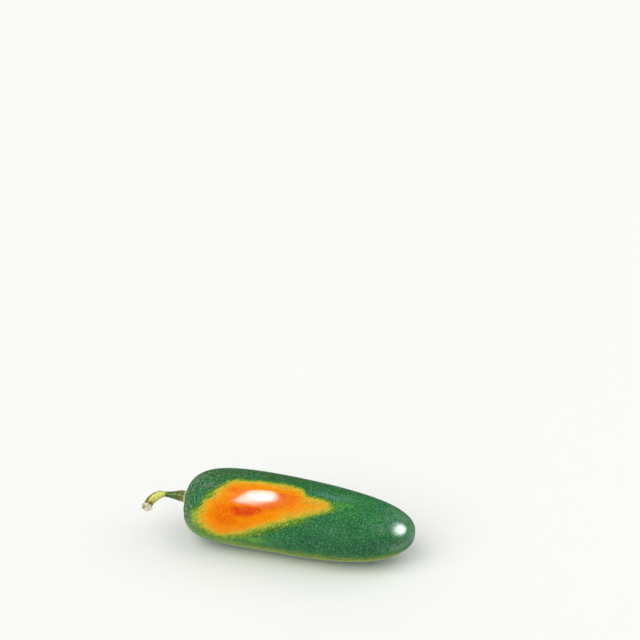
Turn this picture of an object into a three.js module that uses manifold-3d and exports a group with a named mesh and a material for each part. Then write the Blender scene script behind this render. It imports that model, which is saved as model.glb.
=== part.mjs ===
// A chilli pepper of the thick, blunt, green kind, as picked. It lies on its side, with the stem end towards -X
// and the tip towards +X. It has three pieces: the fruit, the calyx, which is the green cap that closes the stem
// end and narrows to a long neck, and the bent stem with its cut end. Millimetres, +Z up, resting on z = 0 with
// the origin under the middle of the whole pepper.
import * as THREE from "three";
import { mergeVertices } from "three/addons/utils/BufferGeometryUtils.js";
import Module from "manifold-3d";

const wasm = await Module();
wasm.setup();

// Driving dimensions of the fruit
const FRUIT_LENGTH = 90; // from the crest of the shoulder to the tip
const FRUIT_RADIUS = 15.2; // where the fruit is thickest
const SHOULDER_RISE = 12.5; // how soon the shoulder reaches the full radius
const SHOULDER_ROUND = 2.6; // how round the shoulder is; 2 would be an ellipse
const TIP_FALL = 4.8; // how late the fruit narrows to the tip
const TIP_ROUND = 2.2; // how blunt the tip is
const BEND = 3.6; // sideways reach of the slight S that the fruit makes
const TIP_SINK = 2; // how much lower the middle of the tip lies than the middle of the stem end
const LOBE = 0.025; // how far the three rounded sides stand out, as a share of the radius
const FLAT_DEPTH = 0.15; // how far the fruit is flattened where it rests

// Driving dimensions of the stem end
const DIMPLE_DEPTH = 3; // the hollow that the calyx sits in
const DIMPLE_RADIUS = 8;
const CALYX_RADIUS = 5.1;
const CALYX_TEETH = 5;
const TOOTH_REACH = 0.07; // how far the teeth stand out, as a share of the radius
const NECK_LEAN = { side: 1, up: 2 }; // how far the neck of the calyx leans away from the fruit's middle line
const NECK_HEIGHT = 10.75; // from the seat of the calyx in the dimple to the end of its neck
const JOIN_GAP = 0.4; // the clear space between two pieces that touch

// The stem's middle line, as the control points of one curve, from the middle of the crest of the shoulder
const STEM_ROUTE = [
  [-9.8, NECK_LEAN.side, NECK_LEAN.up],
  [-11, 1, 2.1],
  [-15.1, -1.2, 1.65],
  [-15, -7, 0.05],
];

// How finely the round shapes are divided
const FRUIT_SIDES = 48;
const CALYX_SIDES = 40;
const STEM_SIDES = 20;
const DIMPLE_RINGS = 7;
const FRUIT_RINGS = 36;

// The radius of the fruit at a share of its length from the stem end
function fruitRadius(share) {
  const shoulder = Math.pow(1 - Math.pow(1 - share, SHOULDER_RISE), 1 / SHOULDER_ROUND);
  const tip = Math.pow(Math.max(0, 1 - Math.pow(share, TIP_FALL)), 1 / TIP_ROUND);
  return FRUIT_RADIUS * shoulder * tip;
}

// The share of the length where the shoulder has a given radius
function shoulderShare(radius) {
  const full = Math.pow(radius / FRUIT_RADIUS, SHOULDER_ROUND);
  return 1 - Math.pow(1 - full, 1 / SHOULDER_RISE);
}

// How deep the dimple is at a given radius
function dimpleDepth(radius) {
  const inside = Math.max(0, 1 - (radius / DIMPLE_RADIUS) ** 2);
  return DIMPLE_DEPTH * inside * inside;
}

// The stem end before the crest is moved to the start: distance along the fruit at a given radius
function rawStemEnd(radius) {
  return FRUIT_LENGTH * shoulderShare(radius) + dimpleDepth(radius);
}

// The crest is the ring of the shoulder that stands out the furthest, round the dimple
const DIMPLE_STEPS = Array.from({ length: 200 }, (_, i) => (i / 200) * DIMPLE_RADIUS);
const CREST = Math.min(...DIMPLE_STEPS.map(rawStemEnd));
const RAW_LENGTH = FRUIT_LENGTH + CREST;

// Distance from the crest, along the fruit, of the stem end's surface at a given radius
function stemEnd(radius) {
  return RAW_LENGTH * shoulderShare(radius) + dimpleDepth(radius) - CREST;
}

// The share of the length at a distance from the crest
function shareAt(along) {
  return THREE.MathUtils.clamp((along + CREST) / RAW_LENGTH, 0, 1);
}

// The three rounded sides fade out towards the two ends
function lobeAt(along) {
  return LOBE * (1 - Math.pow(2 * shareAt(along) - 1, 4));
}

// The middle line swings to one side near the stem and to the other near the tip
function middleSide(along) {
  const fromMiddle = THREE.MathUtils.clamp((2 * along) / FRUIT_LENGTH - 1, -1, 1);
  return BEND * (Math.pow(fromMiddle, 3) - fromMiddle);
}

// It sinks towards the tip, where the fruit is thinner
function middleSink(along) {
  return TIP_SINK * shareAt(along) ** 2;
}

// Moves each point of a geometry by a function of its old place
function displace(geometry, move) {
  const position = geometry.getAttribute("position");
  const point = new THREE.Vector3();
  for (let i = 0; i < position.count; i++) {
    point.fromBufferAttribute(position, i);
    position.setXYZ(i, ...move(point).toArray());
  }
  return geometry;
}

// A closed geometry with its seams merged and its needle faces left out, as a solid
function solidOf(geometry) {
  geometry.deleteAttribute("normal");
  geometry.deleteAttribute("uv");
  const merged = mergeVertices(geometry, 1e-4);
  const corners = merged.index.array;
  const faces = [];
  for (let i = 0; i < corners.length; i += 3) {
    const [a, b, c] = corners.slice(i, i + 3);
    if (a !== b && b !== c && c !== a) faces.push(a, b, c);
  }
  const vertProperties = merged.getAttribute("position").array;
  return new wasm.Manifold(new wasm.Mesh({ numProp: 3, vertProperties, triVerts: new Uint32Array(faces) }));
}

// A solid back as a three.js geometry
function geometryOf(solid) {
  const mesh = solid.getMesh();
  const geometry = new THREE.BufferGeometry();
  geometry.setAttribute("position", new THREE.BufferAttribute(mesh.vertProperties, 3));
  geometry.setIndex(new THREE.BufferAttribute(mesh.triVerts, 1));
  geometry.computeVertexNormals();
  return geometry;
}

// A named piece with its own finish
function piece(name, solid, color, roughness) {
  const material = new THREE.MeshStandardMaterial({ color, roughness, metalness: 0 });
  const mesh = new THREE.Mesh(geometryOf(solid), material);
  mesh.name = name;
  return mesh;
}

// The fruit's outline: the dimple from its middle to past the crest, then the body round to the tip
function fruitOutline() {
  const outline = [];
  for (let i = 0; i < DIMPLE_RINGS; i++) {
    const radius = (DIMPLE_RADIUS * i) / DIMPLE_RINGS;
    outline.push(new THREE.Vector2(radius, stemEnd(radius)));
  }
  const bodyStart = Math.acos(1 - 2 * shoulderShare(DIMPLE_RADIUS));
  for (let i = 0; i <= FRUIT_RINGS; i++) {
    const turn = THREE.MathUtils.lerp(bodyStart, Math.PI, i / FRUIT_RINGS);
    const share = (1 - Math.cos(turn)) / 2;
    const radius = i === FRUIT_RINGS ? 0 : fruitRadius(share);
    outline.push(new THREE.Vector2(radius, RAW_LENGTH * share + dimpleDepth(radius) * (i === 0) - CREST));
  }
  return outline;
}

// The middle of the stem end is this high, so that the fruit rests on the flat of its underside
const OUTLINE = fruitOutline();
const REACH_DOWN = Math.max(...OUTLINE.map((p) => p.x * (1 - lobeAt(p.y)) + middleSink(p.y)));
const STEM_END_HEIGHT = REACH_DOWN - FLAT_DEPTH;

// From a lathe about its own Y axis to the pepper: Y runs along the fruit, and one rounded side is on top
function alongFruit(point) {
  const along = point.y;
  const top = Math.atan2(point.x, point.z) - Math.PI / 2;
  const swell = 1 + lobeAt(along) * Math.cos(3 * top);
  const height = STEM_END_HEIGHT - middleSink(along);
  return new THREE.Vector3(along, middleSide(along) + point.z * swell, height + point.x * swell);
}

function makeFruit() {
  const whole = solidOf(displace(new THREE.LatheGeometry(OUTLINE, FRUIT_SIDES), alongFruit));
  const below = new THREE.BoxGeometry(2 * FRUIT_LENGTH, 4 * FRUIT_RADIUS, FRUIT_RADIUS);
  below.translate(FRUIT_LENGTH / 2, 0, -FRUIT_RADIUS / 2);
  return whole.subtract(solidOf(below));
}

// The calyx's outline gives radius and height above its seat in the dimple, from the neck's end over the cap
// and the rim to the underside
function calyxOutline() {
  const neckEnd = [[0, NECK_HEIGHT], [0.6, NECK_HEIGHT], [1.03, NECK_HEIGHT]];
  const neck = [[1.12, 9.9], [1.3, 8.6], [1.66, 6.5], [1.86, 5.4], [2.02, 4.4], [2.12, 3.5]];
  const cap = [[2.22, 2.75], [2.5, 1.95], [3, 1.35], [3.8, 0.85]];
  const rim = [[CALYX_RADIUS - 0.45, 0.62], [CALYX_RADIUS - 0.05, 0.42], [CALYX_RADIUS, 0.16]];
  const underside = [4.6, 3.4, 1.7, 0].map((radius) => [radius, 0]);
  const outline = [...neckEnd, ...neck, ...cap, ...rim, ...underside];
  return outline.map(([radius, height]) => new THREE.Vector2(radius, height));
}

function makeCalyx() {
  return solidOf(
    displace(new THREE.LatheGeometry(calyxOutline(), CALYX_SIDES), (point) => {
      const radius = Math.hypot(point.x, point.z);
      const turn = Math.atan2(point.x, point.z);
      const tooth = 1 + TOOTH_REACH * Math.cos(CALYX_TEETH * turn) * (radius / CALYX_RADIUS) ** 2;
      const along = stemEnd(radius * tooth) - JOIN_GAP - point.y;
      const lean = THREE.MathUtils.smoothstep(-along, -1.2, 2.4);
      const side = middleSide(along) + NECK_LEAN.side * lean + point.z * tooth;
      return new THREE.Vector3(along, side, STEM_END_HEIGHT + NECK_LEAN.up * lean + point.x * tooth);
    }),
  );
}

// The stem's outline gives radius at each distance from the calyx: it swells, has a slight groove before the
// cut end, and the cut face is a little hollow
function stemOutline(length) {
  const swelling = [[1.04, 0], [1.2, 0.8], [1.42, 1.7], [1.6, 3.1], [1.7, 4.8], [1.72, 6.9]];
  const points = [...swelling, [1.92, length - 1.9], [1.96, length - 0.5]];
  const side = new THREE.SplineCurve(points.map(([radius, distance]) => new THREE.Vector2(radius, distance)));
  const cut = [[1.86, length - 0.12], [1.6, length], [1.1, length - 0.15], [0, length - 0.3]];
  return [new THREE.Vector2(0, 0), ...side.getPoints(14), ...cut.map((point) => new THREE.Vector2(...point))];
}

function makeStem() {
  const route = STEM_ROUTE.map(([along, side, up]) => new THREE.Vector3(along, side, STEM_END_HEIGHT + up));
  const curve = new THREE.CubicBezierCurve3(...route);
  const length = curve.getLength();
  const steps = 200;
  const frames = curve.computeFrenetFrames(steps);
  return solidOf(
    displace(new THREE.LatheGeometry(stemOutline(length), STEM_SIDES), (point) => {
      const step = Math.round((steps * point.y) / length);
      const middle = curve.getPointAt(THREE.MathUtils.clamp(point.y / length, 0, 1));
      return middle.addScaledVector(frames.normals[step], point.z).addScaledVector(frames.binormals[step], point.x);
    }),
  );
}

const pepper = new THREE.Group();
pepper.add(piece("fruit", makeFruit(), 0x2f6b3f, 0.25));
pepper.add(piece("calyx", makeCalyx(), 0x5a7a32, 0.55));
pepper.add(piece("stem", makeStem(), 0x8f9c42, 0.6));

// The origin goes under the middle of the whole pepper
const middle = new THREE.Box3().setFromObject(pepper).getCenter(new THREE.Vector3());
pepper.position.set(-middle.x, -middle.y, 0);

export default pepper;
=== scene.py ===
import math

import bpy
import numpy as np
from mathutils import Matrix, Vector


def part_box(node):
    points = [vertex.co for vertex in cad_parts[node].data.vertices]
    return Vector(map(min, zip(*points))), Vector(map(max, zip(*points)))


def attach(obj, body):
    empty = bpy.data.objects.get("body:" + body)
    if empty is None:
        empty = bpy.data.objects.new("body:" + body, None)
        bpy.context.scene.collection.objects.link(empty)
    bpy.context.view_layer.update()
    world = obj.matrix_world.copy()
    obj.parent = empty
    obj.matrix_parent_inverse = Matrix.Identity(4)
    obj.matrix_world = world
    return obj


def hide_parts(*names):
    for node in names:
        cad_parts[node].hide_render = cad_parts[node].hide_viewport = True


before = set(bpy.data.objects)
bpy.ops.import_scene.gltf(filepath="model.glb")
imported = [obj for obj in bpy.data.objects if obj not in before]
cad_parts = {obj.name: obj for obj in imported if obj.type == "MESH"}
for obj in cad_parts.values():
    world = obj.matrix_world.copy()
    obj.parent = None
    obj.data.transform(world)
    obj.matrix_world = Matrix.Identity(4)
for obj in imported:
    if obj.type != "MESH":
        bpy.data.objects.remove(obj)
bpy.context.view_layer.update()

MM = 0.001  # lengths below are in millimetres, and the frame is in metres
FRUIT_LOW, FRUIT_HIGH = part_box("fruit")

# The form of the fruit, which is that of its node in the frame
FRUIT_LENGTH = (FRUIT_HIGH.x - FRUIT_LOW.x) / MM  # from the crest of the shoulder to the tip
FRUIT_RADIUS = 15.2
SHOULDER_RISE = 12.5  # how soon the shoulder reaches the full radius
SHOULDER_ROUND = 2.6  # how round the shoulder's edge is
TIP_FALL = 4.8  # how late the fruit narrows to the tip
TIP_ROUND = 2.2  # how round the tip is
BEND = 3.6  # of the slight S in the middle line
TIP_SINK = 2  # how far the middle line comes down at the tip
LOBE = 0.025  # share of the radius that the three rounded sides stand out
FLAT_DEPTH = 0.15  # pressed flat where the fruit rests
DIMPLE_DEPTH = 3  # the hollow that the calyx sits in
DIMPLE_RADIUS = 8

# Folds that run over the shoulder into the dimple
PLEATS = 9
PLEAT_DEPTH = 0.22
PLEAT_NARROWING = 0.3  # share of the depth that a fold takes off the radius
PLEAT_RADIUS, PLEAT_REACH = 7, 3  # where the folds are deepest, and how far they run from there
PLEAT_WOBBLE = (0.5, 0.4)  # how unevenly they lie around, in radians
PLEAT_SEED = 4

# The scar that the flower leaves at the end of the tip
SCAR_DEPTH = 0.3
SCAR_RADIUS = 1.1

# The calyx: teeth at the rim, ribs up to the neck
CALYX_RADIUS = 5.1
CALYX_SEAT = 0.4  # out from the fruit to the level that heights on the calyx are counted from
CALYX_TEETH = 5
TOOTH_REACH = 0.08  # share of the radius that a tooth stands out
TOOTH_WOBBLE = 0.3  # how unevenly the teeth lie around and stand out
LONG_TOOTH = 1  # turns the side of the longer teeth, in radians
RIB_HEIGHT = 0.13
FINE_RIBS = 0.5  # height of the finer ribs, as a share of that
RIB_TURN, FINE_RIB_TURN = 0.5, 1.2  # radians of their waves
RIBS_START = (0.2, 1.2)  # heights between which the ribs rise from the rim
RIBS_END = (4, 9)  # and fade out on the neck
RIBS_EDGE = (0, 1)  # radii between which they rise, so that both ends stay plain
RING_HEIGHT = 0.16  # a pale swelling round the foot of the neck
RING_AT, RING_REACH = 1.5, 0.35
NECK_LEAN_SIDE = 1
NECK_LEAN_UP = 2
NECK_LEANS = (-1.2, 2.4)  # distances out from the crest between which the neck leans over

# The stem: the control points of its middle line, from the middle of the crest of the shoulder
STEM_ROUTE = [(-9.8, 1, 2), (-11, 1, 2.1), (-15.1, -1.2, 1.65), (-15, -7, 0.05)]
STEM_FOOT = 0.9  # how far the foot of the stem reaches back into the neck
STEM_RIDGES = 5
RIDGE_HEIGHT = 0.07
RIDGE_TWIST = 0.12  # radians for each millimetre along the stem
RIDGES_START = (0, 2)  # distances along the stem between which the ridges rise
RIDGES_EDGE = (0.8, 1.4)  # radii between which they rise, so that both ends stay plain
# Painted light on the stem: one side is painted lit and its flanks are painted in shade
PAINTED_LIT_SIDE = 145  # where the brightest side of the stem is, in degrees around it; its flanks are duller

# Its dry, crumpled end
COLLAR = 1.7  # how long it is
FOLD_WAVES = (3, 4, 7, 9, 13)  # the waves around that crumple it
FOLD_SHARES = (0.4, 1)  # each of them is as high as this, at random, times the height
FOLD_HEIGHT = 0.055
FOLD_TURN = 6.3  # radians that each may be turned by
FOLD_TWIST = 0.8  # radians for each millimetre along the stem
FOLD_SEED = 9
FOLDS_START, FOLDS_FULL = 0.2, 0.6  # from the start of the dry end, and from its face
TEAR_HEIGHT = 0.09  # how unevenly its face is torn
TEARS_START = 1.0  # from its face
FOLDS_EDGE = (0.3, 1.4)  # radii between which the folds and the tears set in
GREEN_FADES = 0.4  # length over which the green of the stalk gives way to it

# How finely each piece is divided, for mesh edges of half a millimetre at most on the fruit
FRUIT_SIDES, FRUIT_RINGS, DIMPLE_RINGS = 224, 280, 26
CALYX_SIDES, CALYX_STEPS = 160, 6  # steps are between two points of an outline
STEM_SIDES, STEM_STEPS, ROUTE_STEPS = 96, 8, 400
PATCH_STEPS = 12
CREST_SAMPLES, SINK_SAMPLES = 200, 2001  # points at which the fruit's form is measured
SIDE_SAMPLES = (1001, 721)  # along and around


def soft_step(value, start, end):
    """0 before start, 1 after end, and a smooth rise between them"""
    share = np.clip((value - start) / (end - start), 0, 1)
    return share * share * (3 - 2 * share)


def hill(value, middle, reach):
    """1 at the middle, falling smoothly to about a third at the reach"""
    return np.exp(-(((value - middle) / reach) ** 2))


def smooth_line(points, steps, closed=False):
    """A smooth line through the points, in steps from each point to the next"""
    points = np.asarray(points, float)
    if closed:
        run = np.vstack([points[-1:], points, points[:2]])
    else:
        run = np.vstack([2 * points[0] - points[1], points, 2 * points[-1] - points[-2]])
    before, start, end, after = run[:-3], run[1:-2], run[2:-1], run[3:]
    t = np.linspace(0, 1, steps, endpoint=False)[:, None, None]
    line = 0.5 * (
        2 * start + (end - before) * t + (2 * before - 5 * start + 4 * end - after) * t**2
        + (3 * start - before - 3 * end + after) * t**3
    )
    line = line.transpose(1, 0, 2).reshape(-1, 2)
    return line if closed else np.vstack([line, points[-1:]])


# The form of the fruit, with the same formulas as its node

def fruit_radius(share):
    shoulder = (1 - (1 - share) ** SHOULDER_RISE) ** (1 / SHOULDER_ROUND)
    tip = np.clip(1 - share**TIP_FALL, 0, 1) ** (1 / TIP_ROUND)
    return FRUIT_RADIUS * shoulder * tip


def shoulder_share(radius):
    return 1 - (1 - (radius / FRUIT_RADIUS) ** SHOULDER_ROUND) ** (1 / SHOULDER_RISE)


def dimple_depth(radius):
    return DIMPLE_DEPTH * np.clip(1 - (radius / DIMPLE_RADIUS) ** 2, 0, 1) ** 2


def raw_stem_end(radius):
    return FRUIT_LENGTH * shoulder_share(radius) + dimple_depth(radius)


CREST = raw_stem_end(np.linspace(0, DIMPLE_RADIUS, CREST_SAMPLES)).min()
RAW_LENGTH = FRUIT_LENGTH + CREST


def stem_end(radius):
    """Distance from the crest, along the fruit, of the stem end's surface at a radius"""
    return RAW_LENGTH * shoulder_share(radius) + dimple_depth(radius) - CREST


def share_at(along):
    return np.clip((along + CREST) / RAW_LENGTH, 0, 1)


def lobe_at(along):
    return LOBE * (1 - (2 * share_at(along) - 1) ** 4)


def middle_side(along):
    from_middle = np.clip(2 * along / FRUIT_LENGTH - 1, -1, 1)
    return BEND * (from_middle**3 - from_middle)


def middle_sink(along):
    return TIP_SINK * share_at(along) ** 2


def reach_down():
    """How far the fruit reaches below the middle of its stem end"""
    share = np.linspace(0, 1, SINK_SAMPLES)
    along = RAW_LENGTH * share - CREST
    return (fruit_radius(share) * (1 - lobe_at(along)) + middle_sink(along)).max()


STEM_END_HEIGHT = reach_down() - FLAT_DEPTH


def on_skin(along, radius, around):
    """A point of the fruit. Around is in radians, from +Y over the top"""
    spread = radius * (1 + lobe_at(along) * np.cos(3 * (around - math.pi / 2)))
    side = middle_side(along) + spread * np.cos(around)
    height = STEM_END_HEIGHT - middle_sink(along) + spread * np.sin(around)
    return np.stack(np.broadcast_arrays(along, side, height), axis=-1)


def fruit_side_middle():
    """Halfway between the fruit's two sides, from the middle line's own zero"""
    share = np.linspace(0, 1, SIDE_SAMPLES[0])[:, None]
    around = np.linspace(0, 2 * math.pi, SIDE_SAMPLES[1])[None, :]
    sides = on_skin(RAW_LENGTH * share - CREST, fruit_radius(share), around)[..., 1]
    return (sides.min() + sides.max()) / 2


ORIGIN = np.array([FRUIT_LOW.x / MM, (FRUIT_LOW.y + FRUIT_HIGH.y) / 2 / MM - fruit_side_middle(), 0])


def to_frame(points):
    """Millimetres from the middle of the crest, above the floor, to metres in the frame"""
    return (np.asarray(points) + ORIGIN) * MM


def closed_mesh(name, rings, marks, material):
    """A closed mesh through rings of points, whose first and last ring are one point each. Marks are values at
    each point, by name, that the material reads."""
    count, sides = rings.shape[:2]
    inner = rings[1:-1].reshape(-1, 3)
    points = to_frame(np.vstack([rings[:1, 0], inner, rings[-1:, 0]]))
    points[:, 2] = np.maximum(points[:, 2], 0)
    last = len(points) - 1
    faces = []
    for j in range(sides):
        k = (j + 1) % sides
        faces.append((0, 1 + k, 1 + j))
        for i in range(count - 3):
            here = 1 + i * sides
            faces.append((here + j, here + k, here + sides + k, here + sides + j))
        end = 1 + (count - 3) * sides
        faces.append((end + j, end + k, last))
    mesh = bpy.data.meshes.new(name)
    mesh.from_pydata(points.tolist(), [], faces)
    mesh.shade_smooth()
    for mark, values in marks.items():
        flat = np.concatenate([values[:1, 0], values[1:-1].ravel(), values[-1:, 0]])
        mesh.attributes.new(mark, "FLOAT", "POINT").data.foreach_set("value", flat.astype(np.float32))
    mesh.materials.append(material)
    piece = bpy.data.objects.new(name, mesh)
    bpy.context.scene.collection.objects.link(piece)
    return piece


def stands_for(piece, node):
    """The piece takes the place of a node of the frame"""
    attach(piece, "root")
    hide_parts(node)


# Where the green of the skin drifts, and where pale sheen and glow are painted on it: its colour, how strongly,
# and the spots. A spot is its middle and its reach, each along the fruit in millimetres and around it in degrees
# from +Y over the top: (along, around, reach along, reach around). A fifth number makes it weaker.
SKIN_DRIFTS = {
    "crown": ("#46602e", 0.6, [(13, 80, 16, 20), (33, 78, 16, 14)]),
    # Greyer tone at the stem end, partly painted sheen along its edge
    "shoulder": ("#5c7650", 0.6, [(-1, 150, 5, 400)]),
    # Painted sheen: a pale rim along the upper edge near the stem end
    "painted_rim_sheen": ("#94a08c", 0.36, [(4.6, 96, 3.5, 10), (10, 114, 3, 5)]),
    "fresh": ("#70ae36", 0.85, [
        (16, 203, 9, 8), (28, 192, 8, 7), (60.6, 117, 2.2, 7), (64, 110.5, 2.2, 3.5),
    ]),
    "lime": ("#acc05e", 0.62, [(4, 199, 4, 14, 0.85), (12, 214, 12, 9, 0.5), (5.5, 174, 2.2, 15)]),
    "bright": ("#338c38", 0.5, [
        (42, 180, 8, 7), (68, 118, 10, 14), (74, 92, 12, 9), (78, 82, 7, 7), (24, 30, 14, 16),
        (60, 8, 16, 14), (12, -30, 9, 20), (46, -44, 14, 14),
    ]),
    # Painted sheen: a pale blue-green gloss on the top, beside the main highlight
    "painted_blue_sheen": ("#62a09c", 0.34, [(55, 101.5, 4, 4), (59.5, 104.5, 3, 3.5)]),
    "teal": ("#1c4a3a", 0.6, [
        (50, 180, 9, 13), (70, 182, 10, 13), (84, 174, 6, 16), (42, 38, 12, 12), (30, -8, 16, 14),
        (76, 34, 8, 16), (70, -36, 12, 16),
    ]),
    # Painted glow round the tip's highlight, and a painted pale rim round the tip
    "painted_tip_glow": ("#80aa8e", 0.46, [(84, 94, 5, 16, 0.9), (89, 140, 3, 60), (85, 188, 5, 12)]),
    # Mostly painted glow beside the tip's highlight and along the upper edge; the spot lower down is pale tone
    "pale_tone_and_glow": ("#86a898", 0.24, [(79, 141, 5, 10), (64, 98, 4, 7), (82, 118, 4, 9), (60, 157, 8, 8, 0.5)]),
}
ROUGH_SPOTS = [(0, 140, 9, 60), (10, 90, 14, 22, 0.5)]  # where marks curl round the shoulder
POLISHED_SPOTS = [(84.6, 135, 7, 32)]  # where the wax is rubbed to a full gloss

# The underside, painted paler olive as light bounced up from the floor: the degrees around between which it
# starts and ends, the radii between which it sets in at both ends of the fruit, and how weak it is at the stem
# end, with the distances along where it strengthens
BELLY_STARTS = (197, 219)
BELLY_ENDS = (228, 254)
BELLY_NARROWS = (3.5, 11)
BELLY_AT_STEM = 0.25
BELLY_GROWS = (8, 26)

# The outline of the orange patch: millimetres along the fruit, degrees around it
PATCH_OUTLINE = [
    (7.2, 168), (8.5, 154), (10.6, 140), (14, 127.6), (15.9, 117.5), (17.7, 110), (21, 105.4), (26, 103.8),
    (33, 101.4), (40, 100.3), (44.5, 101.3), (46.6, 103.8), (47.6, 108), (48.3, 112.3), (51, 113.6),
    (54.5, 113), (57.3, 114.8), (57.6, 118.3), (56.9, 124.6), (54.6, 131.4), (49.8, 139.3), (42.3, 150),
    (35.5, 162.3), (28.8, 175.5), (22, 187), (16.7, 193), (12.5, 190.5), (8.6, 180),
]
PATCH_RADIUS = 15  # of the fruit, round the patch
SKIN_ARC = PATCH_RADIUS * math.radians(1)  # millimetres of skin in one degree around

# Colours of the patch by the distance inside its outline, in millimetres
RIPENING = [
    (-4.2, "#3c782a"), (-3.0, "#467a20"), (-1.9, "#5c8820"), (-1.2, "#7a982c"), (-0.7, "#9ea434"),
    (-0.25, "#bcac34"), (0.25, "#d8aa30"), (0.9, "#e69c18"), (1.9, "#ee8e0a"), (3.6, "#f08600"),
    (7.1, "#ee7c00"),
]
# Where the patch ripens slowly from its edge, so that its yellow rim is broad
SLOW_SPOTS = [
    (8, 162, 4.5, 22, 0.95), (10, 186, 4, 8, 0.7), (56, 121, 6, 9), (52, 134, 6, 7), (44, 144, 5, 6, 0.7),
    (47, 122, 5, 6, 0.5), (40, 104, 8, 5, 0.7), (13, 127, 5, 10, 0.6), (17.5, 108.5, 3.5, 5, 0.7),
]
SLOW_GAIN = 2.4  # how much broader
# Where the green ends close to the patch: above a line that leans across the fruit, apart from the loose spots,
# and in the tight spots
UPPER_EDGE = (148, 164)  # degrees around between which the line is soft, at the stem end
UPPER_LEAN = 0.7  # degrees that it falls for each millimetre along
LOOSE_SPOTS = [(13, 127, 6, 12)]
TIGHT_SPOTS = [(54, 140, 8, 10)]
TIGHT_GAIN = 1.3  # how much closer
# Where green and orange mix in strokes at the edge
RAGGED_SPOTS = [(8, 155, 5, 26), (14.5, 124, 5, 13), (17.5, 109, 4, 7, 0.8), (14, 192, 5, 8, 0.6)]
# Where the patch is ripest: its red core, and the deeper orange round it
RED_SPOTS = [
    (29.3, 145.5, 4.4, 4.2), (24.6, 153, 4.6, 6), (27.2, 148.5, 3.5, 4.5, 0.6), (21.6, 146, 2.2, 4, 0.45),
    (35, 138.5, 5, 3.5, 0.6), (39.6, 117, 2.2, 4, 0.8),
]
DEEP_SPOTS = [
    (18.5, 152, 5, 12), (19, 168, 5, 8), (21, 120, 5, 6), (43, 118, 5, 6), (41, 127, 5, 6), (36, 134, 5, 5),
]
SPOT_MARKS = {
    "rough": ROUGH_SPOTS, "ragged": RAGGED_SPOTS, "red": RED_SPOTS, "deep": DEEP_SPOTS, "polish": POLISHED_SPOTS,
}


def distance_inside(outline, across, up):
    """How far each point lies inside a closed line, and below zero outside it"""
    nearest = np.full(across.shape, np.inf)
    inside = np.zeros(across.shape, bool)
    for (ax, ay), (bx, by) in zip(outline, np.roll(outline, -1, axis=0)):
        dx, dy = bx - ax, by - ay
        t = np.clip(((across - ax) * dx + (up - ay) * dy) / (dx * dx + dy * dy), 0, 1)
        nearest = np.minimum(nearest, np.hypot(across - ax - t * dx, up - ay - t * dy))
        if ay != by:
            crosses = (ay > up) != (by > up)
            inside ^= crosses & (across < ax + (up - ay) * dx / dy)
    return np.where(inside, nearest, -nearest)


def in_spots(places, along, degrees):
    """The sum of soft spots, at most 1"""
    total = 0
    for middle, turn, reach, reach_around, *weaker in places:
        total = total + hill(along, middle, reach) * hill(degrees, turn, reach_around) * math.prod(weaker)
    return np.minimum(total, 1)


def ripeness(along, degrees):
    """Distance inside the patch, stretched where its rim is broad or the green ends close to it"""
    outline = smooth_line(PATCH_OUTLINE, PATCH_STEPS, closed=True) * [1, SKIN_ARC]
    inside = distance_inside(outline, along, degrees * SKIN_ARC)
    upper = 1 - soft_step(degrees + UPPER_LEAN * along, *UPPER_EDGE)
    upper = upper * (1 - in_spots(LOOSE_SPOTS, along, degrees))
    tight = np.maximum(upper, in_spots(TIGHT_SPOTS, along, degrees))
    slow = in_spots(SLOW_SPOTS, along, degrees)
    return np.where(inside < 0, inside * (1 + TIGHT_GAIN * tight), inside / (1 + SLOW_GAIN * slow))


def fruit_piece(material):
    dimple = np.linspace(0, DIMPLE_RADIUS, DIMPLE_RINGS, endpoint=False)
    body_start = math.acos(1 - 2 * float(shoulder_share(DIMPLE_RADIUS)))
    share = (1 - np.cos(np.linspace(body_start, math.pi, FRUIT_RINGS))) / 2
    radius = np.concatenate([dimple, fruit_radius(share)])[:, None]
    along = np.concatenate([stem_end(dimple), RAW_LENGTH * share - CREST])[:, None]
    degrees = np.linspace(-90, 270, FRUIT_SIDES, endpoint=False)[None, :]
    around = np.radians(degrees)

    start_1, start_2 = np.random.default_rng(PLEAT_SEED).uniform(0, 2 * math.pi, 2)
    wobble = PLEAT_WOBBLE[0] * np.sin(2 * around + start_1) + PLEAT_WOBBLE[1] * np.sin(3 * around + start_2)
    pleated = hill(radius, PLEAT_RADIUS, PLEAT_REACH) * (along < FRUIT_LENGTH / 2)
    pleats = np.cos(PLEATS * around + wobble) * pleated
    scar = hill(radius, 0, SCAR_RADIUS) * (along > FRUIT_LENGTH / 2)
    rings = on_skin(along, radius - PLEAT_NARROWING * PLEAT_DEPTH * pleats, around)
    rings[..., 0] += PLEAT_DEPTH * 0.5 * (1 - pleats) * pleated - SCAR_DEPTH * scar

    along, degrees = np.broadcast_arrays(along, degrees)
    # Painted bounce light from the floor on the underside, weaker towards both ends
    underside_bounce = soft_step(radius, *BELLY_NARROWS)
    underside_bounce = underside_bounce * (BELLY_AT_STEM + (1 - BELLY_AT_STEM) * soft_step(along, *BELLY_GROWS))
    marks = {
        "along": along,
        "arc": degrees * SKIN_ARC,
        "ripe": ripeness(along, degrees),
        "underside_bounce": soft_step(degrees, *BELLY_STARTS) * (1 - soft_step(degrees, *BELLY_ENDS)) * underside_bounce,
        "scar": np.broadcast_to(scar, along.shape),
    }
    for name, places in SPOT_MARKS.items():
        marks[name] = in_spots(places, along, degrees)
    for name, (_, strength, places) in SKIN_DRIFTS.items():
        marks[name] = strength * in_spots(places, along, degrees)
    return closed_mesh("chilli_fruit", rings, marks, material)


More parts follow.
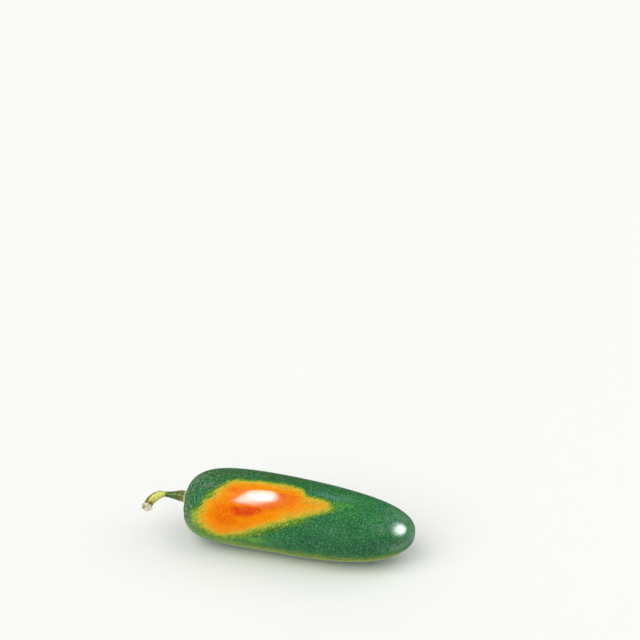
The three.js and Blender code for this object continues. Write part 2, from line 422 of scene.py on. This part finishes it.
def calyx_outline():
    """Radius and height above the seat, from the underside over the rim and the cap to the end of the neck"""
    underside = [(0, -0.34), (1.7, -0.34), (3.4, -0.34), (4.6, -0.34)]
    rim = [(4.95, -0.3), (5.1, -0.12), (5.06, 0.12), (4.75, 0.34)]
    cap = [(3.8, 0.66), (3.0, 1.15), (2.5, 1.85), (2.22, 2.75)]
    neck = [(2.12, 3.5), (2.02, 4.4), (1.86, 5.4), (1.66, 6.5), (1.3, 8.6), (1.12, 9.9)]
    end = [(1.08, 10.5), (0.98, 10.75), (0.7, 10.8), (0, 10.8)]
    return underside + rim + cap + neck + end


def calyx_piece(material):
    outline = smooth_line(calyx_outline(), CALYX_STEPS)
    radius, height = np.maximum(outline[:, :1], 0), outline[:, 1:]
    turn = np.linspace(0, 2 * math.pi, CALYX_SIDES, endpoint=False)[None, :]
    teeth = np.cos(CALYX_TEETH * turn + TOOTH_WOBBLE * np.sin(2 * turn))
    teeth = teeth * (1 + TOOTH_WOBBLE * np.sin(turn + LONG_TOOTH))
    spread = radius * (1 + TOOTH_REACH * teeth * (radius / CALYX_RADIUS) ** 3)
    ribs = np.cos(CALYX_TEETH * turn + RIB_TURN)
    ribs = ribs + FINE_RIBS * np.cos(2 * CALYX_TEETH * turn + FINE_RIB_TURN)
    ribbed = soft_step(height, *RIBS_START) * (1 - soft_step(height, *RIBS_END))
    ribbed = ribbed * soft_step(radius, *RIBS_EDGE)
    ring = hill(height, RING_AT, RING_REACH) * (radius < CALYX_RADIUS / 2)
    spread = spread + RIB_HEIGHT * ribs * ribbed + RING_HEIGHT * ring
    along = stem_end(spread) - CALYX_SEAT - height
    lean = soft_step(-along, *NECK_LEANS)
    side = middle_side(along) + NECK_LEAN_SIDE * lean + spread * np.cos(turn)
    up = STEM_END_HEIGHT + NECK_LEAN_UP * lean + spread * np.sin(turn)
    rings = np.stack([along, side, up], axis=-1)
    marks = {"reach": -along[::-1], "rib": np.broadcast_to(ribs, along.shape)}
    return closed_mesh("chilli_calyx", rings[::-1], marks, material)


def stem_outline(length):
    """Distance along the stem and radius, from the foot in the neck to the middle of the torn face"""
    foot = [(-STEM_FOOT, 0), (-STEM_FOOT, 0.5), (-STEM_FOOT + 0.1, 0.86), (-0.3, 0.95)]
    stalk = [(0, 1.04), (0.8, 1.2), (1.7, 1.42), (3.1, 1.6), (4.8, 1.7), (6.4, 1.73)]
    ring = length - COLLAR
    groove = [(ring - 0.35, 1.72), (ring, 1.58), (ring + 0.35, 1.72)]
    collar = [(length - 1.1, 1.95), (length - 0.6, 2.1), (length - 0.22, 2.06)]
    face = [(length, 1.84), (length - 0.05, 1.45), (length - 0.3, 0.9), (length - 0.4, 0.4), (length - 0.42, 0)]
    return foot + stalk + groove + collar + face


def stem_piece(material):
    a, b, c, d = (np.array([along, side, STEM_END_HEIGHT + up]) for along, side, up in STEM_ROUTE)
    t = np.linspace(0, 1, ROUTE_STEPS)[:, None]
    route = a * (1 - t) ** 3 + 3 * b * t * (1 - t) ** 2 + 3 * c * t**2 * (1 - t) + d * t**3
    reached = np.concatenate([[0], np.cumsum(np.linalg.norm(np.diff(route, axis=0), axis=1))])
    length = reached[-1]

    def along_route(values):
        return np.stack([np.interp(distance[:, 0], reached, values[:, i]) for i in range(3)], axis=-1)

    outline = smooth_line(stem_outline(length), STEM_STEPS)
    distance, radius = outline[:, :1], np.maximum(outline[:, 1:], 0)
    tangent = along_route(np.gradient(route, axis=0))
    tangent /= np.linalg.norm(tangent, axis=1, keepdims=True)
    beyond = np.minimum(distance, 0) + np.maximum(distance - length, 0)
    middle = along_route(route) + tangent * beyond
    across = np.cross(tangent, [0, 0, 1])
    across /= np.linalg.norm(across, axis=1, keepdims=True)
    upward = np.cross(across, tangent)

    turn = np.linspace(0, 2 * math.pi, STEM_SIDES, endpoint=False)[None, :]
    ridges = np.cos(STEM_RIDGES * turn + RIDGE_TWIST * distance) * soft_step(distance, *RIDGES_START)
    ridges = ridges * soft_step(radius, *RIDGES_EDGE)
    random = np.random.default_rng(FOLD_SEED)
    folds = sum(
        random.uniform(*FOLD_SHARES)
        * np.cos(waves * turn + random.uniform(0, FOLD_TURN) + FOLD_TWIST * distance)
        for waves in FOLD_WAVES
    )
    dry_start = length - COLLAR
    outer = soft_step(radius, *FOLDS_EDGE)
    crumple = folds * soft_step(distance, dry_start + FOLDS_START, length - FOLDS_FULL) * outer
    tear = folds * soft_step(distance, length - TEARS_START, length) * outer
    spread = radius + RIDGE_HEIGHT * ridges + FOLD_HEIGHT * crumple
    rings = (
        middle[:, None, :]
        + (spread * np.cos(turn))[..., None] * across[:, None, :]
        + (spread * np.sin(turn))[..., None] * upward[:, None, :]
        + TEAR_HEIGHT * tear[..., None] * tangent[:, None, :]
    )
    green = 1 - soft_step(distance, dry_start, dry_start + GREEN_FADES)
    marks = {
        "reach": np.broadcast_to(distance - length, spread.shape),
        "fold": crumple,
        "shaded_flank": np.abs(np.sin(turn - math.radians(PAINTED_LIT_SIDE))) * green,
        "corky": np.broadcast_to(1 - green, spread.shape),
    }
    return closed_mesh("chilli_stem", rings, marks, material)


# Colour and nodes

def linear(hex_colour):
    """An sRGB hex value as linear red, green, blue and a full alpha"""
    parts = [int(hex_colour[i : i + 2], 16) / 255 for i in (1, 3, 5)]
    return [c / 12.92 if c <= 0.04045 else ((c + 0.055) / 1.055) ** 2.4 for c in parts] + [1.0]


def add(tree, kind, sockets=None, out=0, stops=None, **settings):
    """Adds a node with its settings, colour stops, and a value or a link for each socket. Gives one output."""
    node = tree.nodes.new("ShaderNode" + kind)
    for name, value in settings.items():
        setattr(node, name, value)
    if stops:
        elements = node.color_ramp.elements
        elements.remove(elements[1])
        elements[0].position, elements[0].color = stops[0][0], linear(stops[0][1])
        for position, colour in stops[1:]:
            elements.new(position).color = linear(colour)
    for name, value in (sockets or {}).items():
        if isinstance(value, bpy.types.NodeSocket):
            tree.links.new(value, node.inputs[name])
        else:
            node.inputs[name].default_value = value
    return node.outputs[out]


# The sockets of a mix are known by number, for colours and for plain values
FACTOR, UNDER, OVER, MIXED = 0, 6, 7, 2
PLAIN_UNDER, PLAIN_OVER = 2, 3


def lay_washes(tree, colour, washes, fields):
    """Lays colours over each other. Each wash is a colour, the field that places it, the values of the field
    where it starts and where it is full, and how strong it is there."""
    for wash, field, start, full, strength in washes:
        sockets = {"Value": fields[field], "From Min": start, "From Max": full, "To Max": strength}
        share = add(tree, "MapRange", sockets)
        sockets = {FACTOR: share, UNDER: colour, OVER: linear(wash)}
        colour = add(tree, "Mix", sockets, out=MIXED, data_type="RGBA")
    return colour


def fray(tree, value, noises, fields, where=None):
    """Moves a value up and down by noises, each as far as its reach, all over or where a field is 1"""
    for noise, reach in noises:
        shift = add(tree, "MapRange", {"Value": fields[noise], "To Min": -reach, "To Max": reach})
        if where:
            shift = add(tree, "Math", {0: shift, 1: where}, operation="MULTIPLY")
        value = add(tree, "Math", {0: value, 1: shift}, operation="ADD")
    return value


def colour_bands(tree, value, bands):
    """Colours that follow a value. A band is a value and the colour there."""
    low, high = bands[0][0], bands[-1][0]
    share = add(tree, "MapRange", {"Value": value, "From Min": low, "From Max": high})
    stops = [((at - low) / (high - low), colour) for at, colour in bands]
    return add(tree, "ValToRGB", {"Fac": share}, stops=stops)


def start_material(name, marks, **shader_values):
    """A material whose shader has these values on its own sockets, and fields that read marks of the mesh"""
    material = bpy.data.materials.new(name)
    material.use_nodes = True
    tree = material.node_tree
    shader = tree.nodes["Principled BSDF"]
    for socket, value in shader_values.items():
        shader.inputs[socket.replace("_", " ")].default_value = value
    fields = {mark: add(tree, "Attribute", out="Fac", attribute_name=mark) for mark in marks}
    return material, tree, shader, fields


# The lumps of the skin's colour: millimetres across, detail, contrast of the detail, and how much longer they
# are than wide. Speckles of a real skin are about 0.1 mm across; the grain is drawn coarser so that it shows.
SKIN_NOISES = {
    "clouds": (7, 3, 0.5, 1),
    "blotches": (1.8, 3, 0.5, 1),
    "grain": (0.62, 2, 0.75, 1),
    "flecks": (1.1, 2, 0.7, 1),
    "streaks": (0.6, 2, 0.6, 8),
}
# Strokes of colour that lean up towards the tip where the skin ripens, and marks that curl round the shoulder.
# Like the grain, they are drawn coarser than the cells of a real skin so that they show.
HATCH_WIDTH, CURL_WIDTH = 0.62, 0.72
HATCH_STRETCH, CURL_STRETCH = 6, 3  # how many times longer than wide
HATCH_TURN = 40  # degrees that the strokes lean from the fruit's length
# The values of the noise where each kind of curl starts and is full, and how strong it is
CURLS = [("pale_curls", 0.52, 0.75, 0.9), ("dark_curls", 0.48, 0.26, 1)]

GREEN = "#30713f"
CLOUD_WASH = ("#246438", "clouds", 0.6, 0.35, 1.0)  # laid before the drifts
GREEN_WASHES = [
    ("#24664c", "clouds", 0.52, 0.72, 0.6),
    ("#4a7c5c", "blotches", 0.55, 0.8, 0.45),
    ("#2a7c34", "blotches", 0.45, 0.2, 0.4),
    ("#143e22", "grain", 0.5, 0.22, 0.95),
    ("#84bc8c", "grain", 0.51, 0.84, 0.74),
    ("#1c4e30", "flecks", 0.47, 0.25, 0.6),
    ("#3f8a3c", "streaks", 0.52, 0.8, 0.3),
    ("#a2b494", "pale_curls", 0, 1, 1),
    ("#1e3426", "dark_curls", 0, 1, 1),
]
# Painted bounce light: a paler olive on the underside, as if lit up from the floor
PAINTED_BOUNCE_WASH = ("#869a1c", "underside_bounce", 0, 1.1, 1)
SCAR_WASH = ("#5c4a2c", "scar", 0, 1, 0.8)
ORANGE_WASHES = [
    ("#e46000", "deep", 0.25, 1.0, 0.75),
    ("#d42c14", "red", 0.22, 0.9, 0.95),
    ("#dc6400", "hatch", 0.5, 0.25, 0.6),
    ("#fcb830", "hatch", 0.54, 0.8, 0.55),
    ("#dc5800", "grain", 0.48, 0.25, 0.7),
    ("#fcb830", "grain", 0.55, 0.8, 0.6),
]
RIM_WASHES = [
    ("#b8c050", "lime", 0, 1, 0.7),
    ("#4c7420", "grain", 0.48, 0.25, 0.5),
    ("#dcd06a", "grain", 0.54, 0.78, 0.6),
    ("#dccc5a", "hatch", 0.54, 0.75, 0.55),
    ("#4c7a30", "hatch", 0.48, 0.28, 0.4),
]
# How the noises break up what would be too smooth
PATCHY = {"From Min": 0.25, "From Max": 0.75, "To Min": 0.5, "To Max": 1.5}
STREAKY = {"From Min": 0.35, "From Max": 0.65, "To Min": 0.4, "To Max": 1.6}
EDGE_FRAYS = [("blotches", 0.8), ("grain", 0.8), ("hatch", 0.8)]  # millimetres
RAGGED_FRAYS = [("flecks", 2.5), ("hatch", 1.8)]
RIPEST_FRAYS = [("blotches", 0.3), ("hatch", 0.5)]  # shares of full strength

RIM_ENDS = (-0.2, 1.2)  # distances inside the outline between which the rim's speckles give way to the patch's
FRINGE = 2.2  # over which the green gives way to the first colour of ripening
SKIN_ROUGHNESS = (0.34, 0.48)
WAX = (0.25, 1)  # weight of the clear coat, from plain to polished skin
GRAIN_DEPTH = 0.05


def green_skin(tree, fields):
    """The unripe green, with its drifts, painted sheen and glow, speckles, curls and painted bounce light below
    """
    green = lay_washes(tree, linear(GREEN), [CLOUD_WASH], fields)
    patchy = add(tree, "MapRange", {"Value": fields["blotches"], **PATCHY})
    streaky = add(tree, "MapRange", {"Value": fields["streaks"], **STREAKY})
    for name, (colour, _, _) in SKIN_DRIFTS.items():
        fields[name] = add(tree, "Math", {0: fields[name], 1: patchy}, operation="MULTIPLY")
        green = lay_washes(tree, green, [(colour, name, 0, 1, 1)], fields)
    green = lay_washes(tree, green, GREEN_WASHES, fields)
    for share in (patchy, streaky):
        fields["underside_bounce"] = add(tree, "Math", {0: fields["underside_bounce"], 1: share}, operation="MULTIPLY")
    return lay_washes(tree, green, [PAINTED_BOUNCE_WASH], fields)


def ripening_skin(tree, fields, green):
    """The orange patch over the green, with its rim, frayed edge and red core"""
    ripe = fray(tree, fields["ripe"], EDGE_FRAYS, fields)
    ripe = fray(tree, ripe, RAGGED_FRAYS, fields, fields["ragged"])
    for name in ("red", "deep"):
        fields[name] = fray(tree, fields[name], RIPEST_FRAYS, fields)
    ripening = colour_bands(tree, ripe, RIPENING)
    orange = lay_washes(tree, ripening, ORANGE_WASHES, fields)
    rim = lay_washes(tree, ripening, RIM_WASHES, fields)
    start = RIPENING[0][0]
    inner = add(tree, "MapRange", {"Value": ripe, "From Min": RIM_ENDS[0], "From Max": RIM_ENDS[1]})
    cover = add(tree, "MapRange", {"Value": ripe, "From Min": start, "From Max": start + FRINGE})
    patch = add(tree, "Mix", {FACTOR: inner, UNDER: rim, OVER: orange}, out=MIXED, data_type="RGBA")
    return add(tree, "Mix", {FACTOR: cover, UNDER: green, OVER: patch}, out=MIXED, data_type="RGBA")


def chilli_skin():
    """Chilli skin, grown: a thin clear wax over soft green flesh. The wax gives sharp, bright highlights, and
    the flesh under it gives a deep, uneven green with fine speckles."""
    marks = ["ripe", "ragged", "red", "deep", "underside_bounce", "scar", "rough", "polish", "along", "arc", *SKIN_DRIFTS]
    material, tree, shader, fields = start_material(
        "chilli_skin_grown_waxy", marks, Roughness=0.4, IOR=1.45, Specular_IOR_Level=0.015,
        Coat_Weight=0.25, Coat_Roughness=0.052, Coat_IOR=1.45,
        Sheen_Weight=0.95, Sheen_Roughness=0.15, Sheen_Tint=linear("#c4ecc0"),
    )
    place = add(tree, "TexCoord", out="Object")
    for name, (size, detail, contrast, stretch) in SKIN_NOISES.items():
        spot = add(tree, "Mapping", {"Vector": place, "Scale": (1 / stretch, 1, 1)})
        sockets = {"Vector": spot, "Scale": 1 / (size * MM), "Detail": detail, "Roughness": contrast}
        fields[name] = add(tree, "TexNoise", sockets)

    # The strokes and the curls lie on the skin rolled out flat, in millimetres
    flat = add(tree, "CombineXYZ", {"X": fields["along"], "Y": fields["arc"]})
    turned = {"Vector": flat, "Rotation": (0, 0, math.radians(-HATCH_TURN)), "Scale": (HATCH_STRETCH, 1, 1)}
    spot = add(tree, "Mapping", turned, vector_type="TEXTURE")
    sockets = {"Vector": spot, "Scale": 1 / HATCH_WIDTH, "Detail": 2, "Roughness": 0.6}
    fields["hatch"] = add(tree, "TexNoise", sockets)
    spot = add(tree, "Mapping", {"Vector": flat, "Scale": (1, 1 / CURL_STRETCH, 1)})
    curls = add(tree, "TexNoise", {"Vector": spot, "Scale": 1 / CURL_WIDTH, "Detail": 2, "Roughness": 0.7})
    for name, start, full, strength in CURLS:
        share = add(tree, "MapRange", {"Value": curls, "From Min": start, "From Max": full, "To Max": strength})
        fields[name] = add(tree, "Math", {0: share, 1: fields["rough"]}, operation="MULTIPLY")

    skin = ripening_skin(tree, fields, green_skin(tree, fields))
    skin = lay_washes(tree, skin, [SCAR_WASH], fields)
    tree.links.new(skin, shader.inputs["Base Color"])
    relief = add(tree, "Bump", {"Height": fields["grain"], "Strength": 0.1, "Distance": GRAIN_DEPTH * MM})
    tree.links.new(relief, shader.inputs["Normal"])
    for socket, field, (low, high) in (
        ("Roughness", "blotches", SKIN_ROUGHNESS), ("Coat Weight", "polish", WAX),
    ):
        value = add(tree, "MapRange", {"Value": fields[field], "To Min": low, "To Max": high})
        tree.links.new(value, shader.inputs[socket])
    return material


# The colours of the calyx by the distance out from the crest, and of the stem by the distance from its face
# The dark green of the neck, from about 4 mm out, is partly painted shadow near the fruit over the calyx's own
# green
CALYX_BANDS = [
    (-2, "#6a7a3a"), (0.6, "#7c8c48"), (0.85, "#dce8ae"), (1.4, "#dce8ae"), (1.7, "#7a8042"),
    (4.0, "#5c6c2e"), (5.8, "#44682a"), (8, "#3e641e"), (10, "#3c661e"),
]
CALYX_WASHES = [
    ("#98a45a", "rib", 0.3, 1.3, 0.5),
    ("#4e5c28", "rib", -0.3, -1.3, 0.5),
    ("#b4b878", "flecks", 0.53, 0.78, 0.75),
    ("#2c3c14", "flecks", 0.48, 0.26, 0.7),
]
STEM_BANDS = [
    (-11, "#c4cc58"), (-9.8, "#e2e878"), (-6, "#e0e472"), (-3.2, "#c4c650"), (-2.5, "#8a882c"),
    (-1.95, "#5c5a10"), (-1.55, "#5c5a10"), (-1.2, "#c4be9a"), (-0.7, "#eee8cc"), (0, "#f2eed8"),
]
STEM_WASHES = [
    # Painted shade on the stem's flanks, away from its painted lit side
    ("#54541a", "shaded_flank", 0.68, 0.93, 1.0),
    ("#8c9438", "flecks", 0.48, 0.25, 0.9),
    ("#fafab8", "flecks", 0.52, 0.74, 0.85),
    # Painted shade in the hollows of the crumpled dry end
    ("#8e8a66", "fold", -0.2, -1.6, 0.5),
    ("#7d7850", "crumbs", 0, 1, 0.85),
]
# Sizes in millimetres: of the flecks, how far they move the bands, and how high they stand
CALYX_FLECK, CALYX_FRAY, CALYX_RELIEF = 0.7, 0.2, 0.08
STEM_FLECK, STEM_FRAY, STEM_RELIEF = 0.8, 0.4, 0.1
CRUMB = 0.55  # of the dry cork at the stem's end


def calyx_tissue():
    """Calyx of a chilli, grown: firm green leaf tissue, ribbed, satin. It looks darker and duller than the
    skin."""
    material, tree, shader, fields = start_material(
        "chilli_calyx_grown_satin", ["reach", "rib"], Roughness=0.5, IOR=1.45, Specular_IOR_Level=0.3,
    )
    place = add(tree, "TexCoord", out="Object")
    sockets = {"Vector": place, "Scale": 1 / (CALYX_FLECK * MM), "Detail": 2, "Roughness": 0.7}
    fields["flecks"] = add(tree, "TexNoise", sockets)
    reach = fray(tree, fields["reach"], [("flecks", CALYX_FRAY)], fields)
    colour = lay_washes(tree, colour_bands(tree, reach, CALYX_BANDS), CALYX_WASHES, fields)
    tree.links.new(colour, shader.inputs["Base Color"])
    relief = add(tree, "Bump", {"Height": fields["flecks"], "Strength": 0.3, "Distance": CALYX_RELIEF * MM})
    tree.links.new(relief, shader.inputs["Normal"])
    return material


def stem_tissue():
    """Stem of a chilli, grown: ridged green stalk, satin, ending in a dry, pale, corky break."""
    material, tree, shader, fields = start_material(
        "chilli_stem_grown_satin", ["reach", "shaded_flank", "fold", "corky"],
        Roughness=0.5, IOR=1.45, Specular_IOR_Level=0.1,
    )
    place = add(tree, "TexCoord", out="Object")
    sockets = {"Vector": place, "Scale": 1 / (STEM_FLECK * MM), "Detail": 2, "Roughness": 0.7}
    fields["flecks"] = add(tree, "TexNoise", sockets)
    sockets = {"Vector": place, "Scale": 1 / (CRUMB * MM), "Detail": 2, "Roughness": 0.7}
    crumbs = add(tree, "TexNoise", sockets)
    crumbs = add(tree, "MapRange", {"Value": crumbs, "From Min": 0.54, "From Max": 0.34})
    fields["crumbs"] = add(tree, "Math", {0: crumbs, 1: fields["corky"]}, operation="MULTIPLY")
    reach = fray(tree, fields["reach"], [("flecks", STEM_FRAY)], fields)
    colour = lay_washes(tree, colour_bands(tree, reach, STEM_BANDS), STEM_WASHES, fields)
    tree.links.new(colour, shader.inputs["Base Color"])
    relief = add(tree, "Bump", {"Height": fields["flecks"], "Strength": 0.35, "Distance": STEM_RELIEF * MM})
    tree.links.new(relief, shader.inputs["Normal"])
    return material


FLOOR_CLOUDS = 3.0  # to the metre
FLOOR_WHITES = ("#f6f6f4", "#f4f5f2")


def floor_board():
    """Pale board, painted matt: an even, nearly white ground."""
    material, tree, shader, _ = start_material("floor_painted_matt", [], Roughness=0.9, Specular_IOR_Level=0.05)
    place = add(tree, "TexCoord", out="Object")
    cloud = add(tree, "TexNoise", {"Vector": place, "Scale": FLOOR_CLOUDS, "Detail": 1.0})
    sockets = {FACTOR: cloud, UNDER: linear(FLOOR_WHITES[0]), OVER: linear(FLOOR_WHITES[1])}
    colour = add(tree, "Mix", sockets, out=MIXED, data_type="RGBA")
    tree.links.new(colour, shader.inputs["Base Color"])
    return material


# The photograph's frame and where the fruit lies in it
IMAGE_SIDE = 640  # pixels
FRUIT_MIDDLE_PIXEL = (298.7, 515.5)
FRUIT_MIDDLE_HEIGHT = 15
PIXELS_PER_MM = 2.56
CAMERA_AZIMUTH = 12.5  # degrees from the fruit's side towards its tip
CAMERA_ELEVATION = 35
LENS, SENSOR = 85, 36
CLIP = (0.01, 50)  # metres


def place_camera():
    azimuth, elevation = math.radians(CAMERA_AZIMUTH), math.radians(CAMERA_ELEVATION)
    level = math.cos(elevation)
    back = Vector((math.sin(azimuth) * level, -math.cos(azimuth) * level, math.sin(elevation)))
    right = Vector((math.cos(azimuth), math.sin(azimuth), 0))
    up = back.cross(right)
    middle = Vector(to_frame([FRUIT_LENGTH / 2, 0, FRUIT_MIDDLE_HEIGHT]))
    eye = middle + back * (LENS / SENSOR * IMAGE_SIDE / PIXELS_PER_MM * MM)
    across = (IMAGE_SIDE / 2 - FRUIT_MIDDLE_PIXEL[0]) / PIXELS_PER_MM * MM
    above = (FRUIT_MIDDLE_PIXEL[1] - IMAGE_SIDE / 2) / PIXELS_PER_MM * MM
    aim = middle + right * across + up * above
    data = bpy.data.cameras.new("camera")
    data.lens, data.sensor_width = LENS, SENSOR
    data.clip_start, data.clip_end = CLIP
    camera = bpy.data.objects.new("camera", data)
    bpy.context.scene.collection.objects.link(camera)
    camera.location = eye
    camera.rotation_mode = "QUATERNION"
    camera.rotation_quaternion = (aim - eye).to_track_quat("-Z", "Y")
    bpy.context.scene.camera = camera


FLOOR_REACH = 6.0  # metres
FLOOR_GAP = 0.02  # under the pepper


def lay_floor():
    corners = [(x * FLOOR_REACH, y * FLOOR_REACH, 0) for x, y in ((-1, -1), (1, -1), (1, 1), (-1, 1))]
    mesh = bpy.data.meshes.new("floor")
    mesh.from_pydata(corners, [], [(0, 1, 2, 3)])
    mesh.materials.append(floor_board())
    floor = bpy.data.objects.new("floor", mesh)
    floor.location.z = -FLOOR_GAP * MM
    floor.visible_glossy = False
    bpy.context.scene.collection.objects.link(floor)


LAMP_DISTANCE = 900  # from the skin to the first softbox of a highlight
LAMP_STEP = 4  # from each softbox to the next one behind it

# The two highlights. Each has its place on the skin (along, around), the direction from there to its softboxes,
# the direction of their long side, and the softboxes: how far each is shifted across and along, its half width
# and half length, its turn in radians, its brightness and its colour.
HIGHLIGHTS = {
    "crown": ((29.1, 125), (-0.255, -0.36, 0.9), (0.071, 0.899, 0.432), [
        (7.8, -109.5, 15.4, 262, -0.052, 175, "#f4f4ff"),
        (8.6, 92.5, 19, 260, 0.035, 175, "#fbf8ff"),
        (-8.5, -392, 13, 75, 0, 60, "#d0d8ff"),
    ]),
    "tip": ((84.6, 135), (0.9, -0.22, 0.36), (0.0, 0.826, 0.564), [
        (49, 31, 158, 222, -0.119, 16.5, "#ffffff"),
        (49, 31, 200, 281, -0.119, 15.5, "#ffffff"),
        (49, 31, 242, 341, -0.119, 13.5, "#f8fff8"),
        (49, 31, 290, 408, -0.119, 10.5, "#f0fff4"),
        (49, 31, 342, 481, -0.119, 7.5, "#e8fff0"),
        (60, 20, 410, 577, -0.119, 3, "#e0fff0"),
    ]),
}

# Soft light from the sides: the direction of each, its strength and its width in degrees
SUNS = {"key": ((-0.45, -0.6, 0.85), 1.6, 60), "fill": ((0.6, 0.25, 0.8), 0.7, 60)}

# Brightness of the dome round the studio: as light, as the skin reflects it above and below, and as the camera
# sees it
DOME_LIGHT = 0.5
DOME_REFLECTION = 0.09
GROUND_REFLECTION = 0.68
GROUND_STARTS, GROUND_FULL = 0.1, -0.5  # heights of the reflected direction
BACKDROP = 0.92


def sun(name, towards, strength, width):
    """Soft light without a reflection of its own"""
    data = bpy.data.lights.new(name, "SUN")
    data.energy, data.angle = strength, math.radians(width)
    lamp = bpy.data.objects.new(name, data)
    bpy.context.scene.collection.objects.link(lamp)
    lamp.rotation_mode = "QUATERNION"
    lamp.rotation_quaternion = Vector(towards).to_track_quat("Z", "Y")
    lamp.visible_glossy = False


def highlight_lamps(name, place, towards, long_side, softboxes):
    """Softboxes that only show as one highlight on the skin"""
    along, degrees = place
    spot = Vector(to_frame(on_skin(along, fruit_radius(float(share_at(along))), math.radians(degrees))))
    back = Vector(towards).normalized()
    side = Vector(long_side).cross(back).normalized()
    lengthwise = back.cross(side)
    for i, (shift_across, shift_along, half_width, half_length, turn, brightness, tint) in enumerate(softboxes):
        data = bpy.data.lights.new(f"softbox_{name}_{i}", "AREA")
        data.shape = "ELLIPSE"
        data.size, data.size_y = 2 * half_width * MM, 2 * half_length * MM
        data.energy = brightness * data.size * data.size_y
        data.color = linear(tint)[:3]
        lamp = bpy.data.objects.new(data.name, data)
        bpy.context.scene.collection.objects.link(lamp)
        turned = side * math.cos(turn) + lengthwise * math.sin(turn)
        lamp.matrix_world = Matrix((turned, back.cross(turned), back)).transposed().to_4x4()
        away = back * (LAMP_DISTANCE + LAMP_STEP * i)
        lamp.location = spot + (away + side * shift_across + lengthwise * shift_along) * MM
        lamp.visible_diffuse = False


def light_studio():
    scene = bpy.context.scene
    scene.view_settings.view_transform = "Standard"
    world = bpy.data.worlds.new("studio")
    scene.world = world
    world.use_nodes = True
    tree = world.node_tree
    glossy = add(tree, "LightPath", out="Is Glossy Ray")
    seen = add(tree, "LightPath", out="Is Camera Ray")
    height = add(tree, "SeparateXYZ", {"Vector": add(tree, "TexCoord", out="Generated")}, out="Z")
    mirrored = add(tree, "MapRange", {
        "Value": height, "From Min": GROUND_STARTS, "From Max": GROUND_FULL,
        "To Min": DOME_REFLECTION, "To Max": GROUND_REFLECTION,
    }, interpolation_type="SMOOTHSTEP")
    strength = add(tree, "Mix", {FACTOR: glossy, PLAIN_UNDER: DOME_LIGHT, PLAIN_OVER: mirrored})
    strength = add(tree, "Mix", {FACTOR: seen, PLAIN_UNDER: strength, PLAIN_OVER: BACKDROP})
    background = tree.nodes["Background"]
    tree.links.new(strength, background.inputs["Strength"])
    background.inputs["Color"].default_value = linear("#ffffff")
    for name, values in SUNS.items():
        sun(name, *values)
    for name, values in HIGHLIGHTS.items():
        highlight_lamps(name, *values)


place_camera()
lay_floor()
light_studio()
stands_for(fruit_piece(chilli_skin()), "fruit")
stands_for(calyx_piece(calyx_tissue()), "calyx")
stands_for(stem_piece(stem_tissue()), "stem")
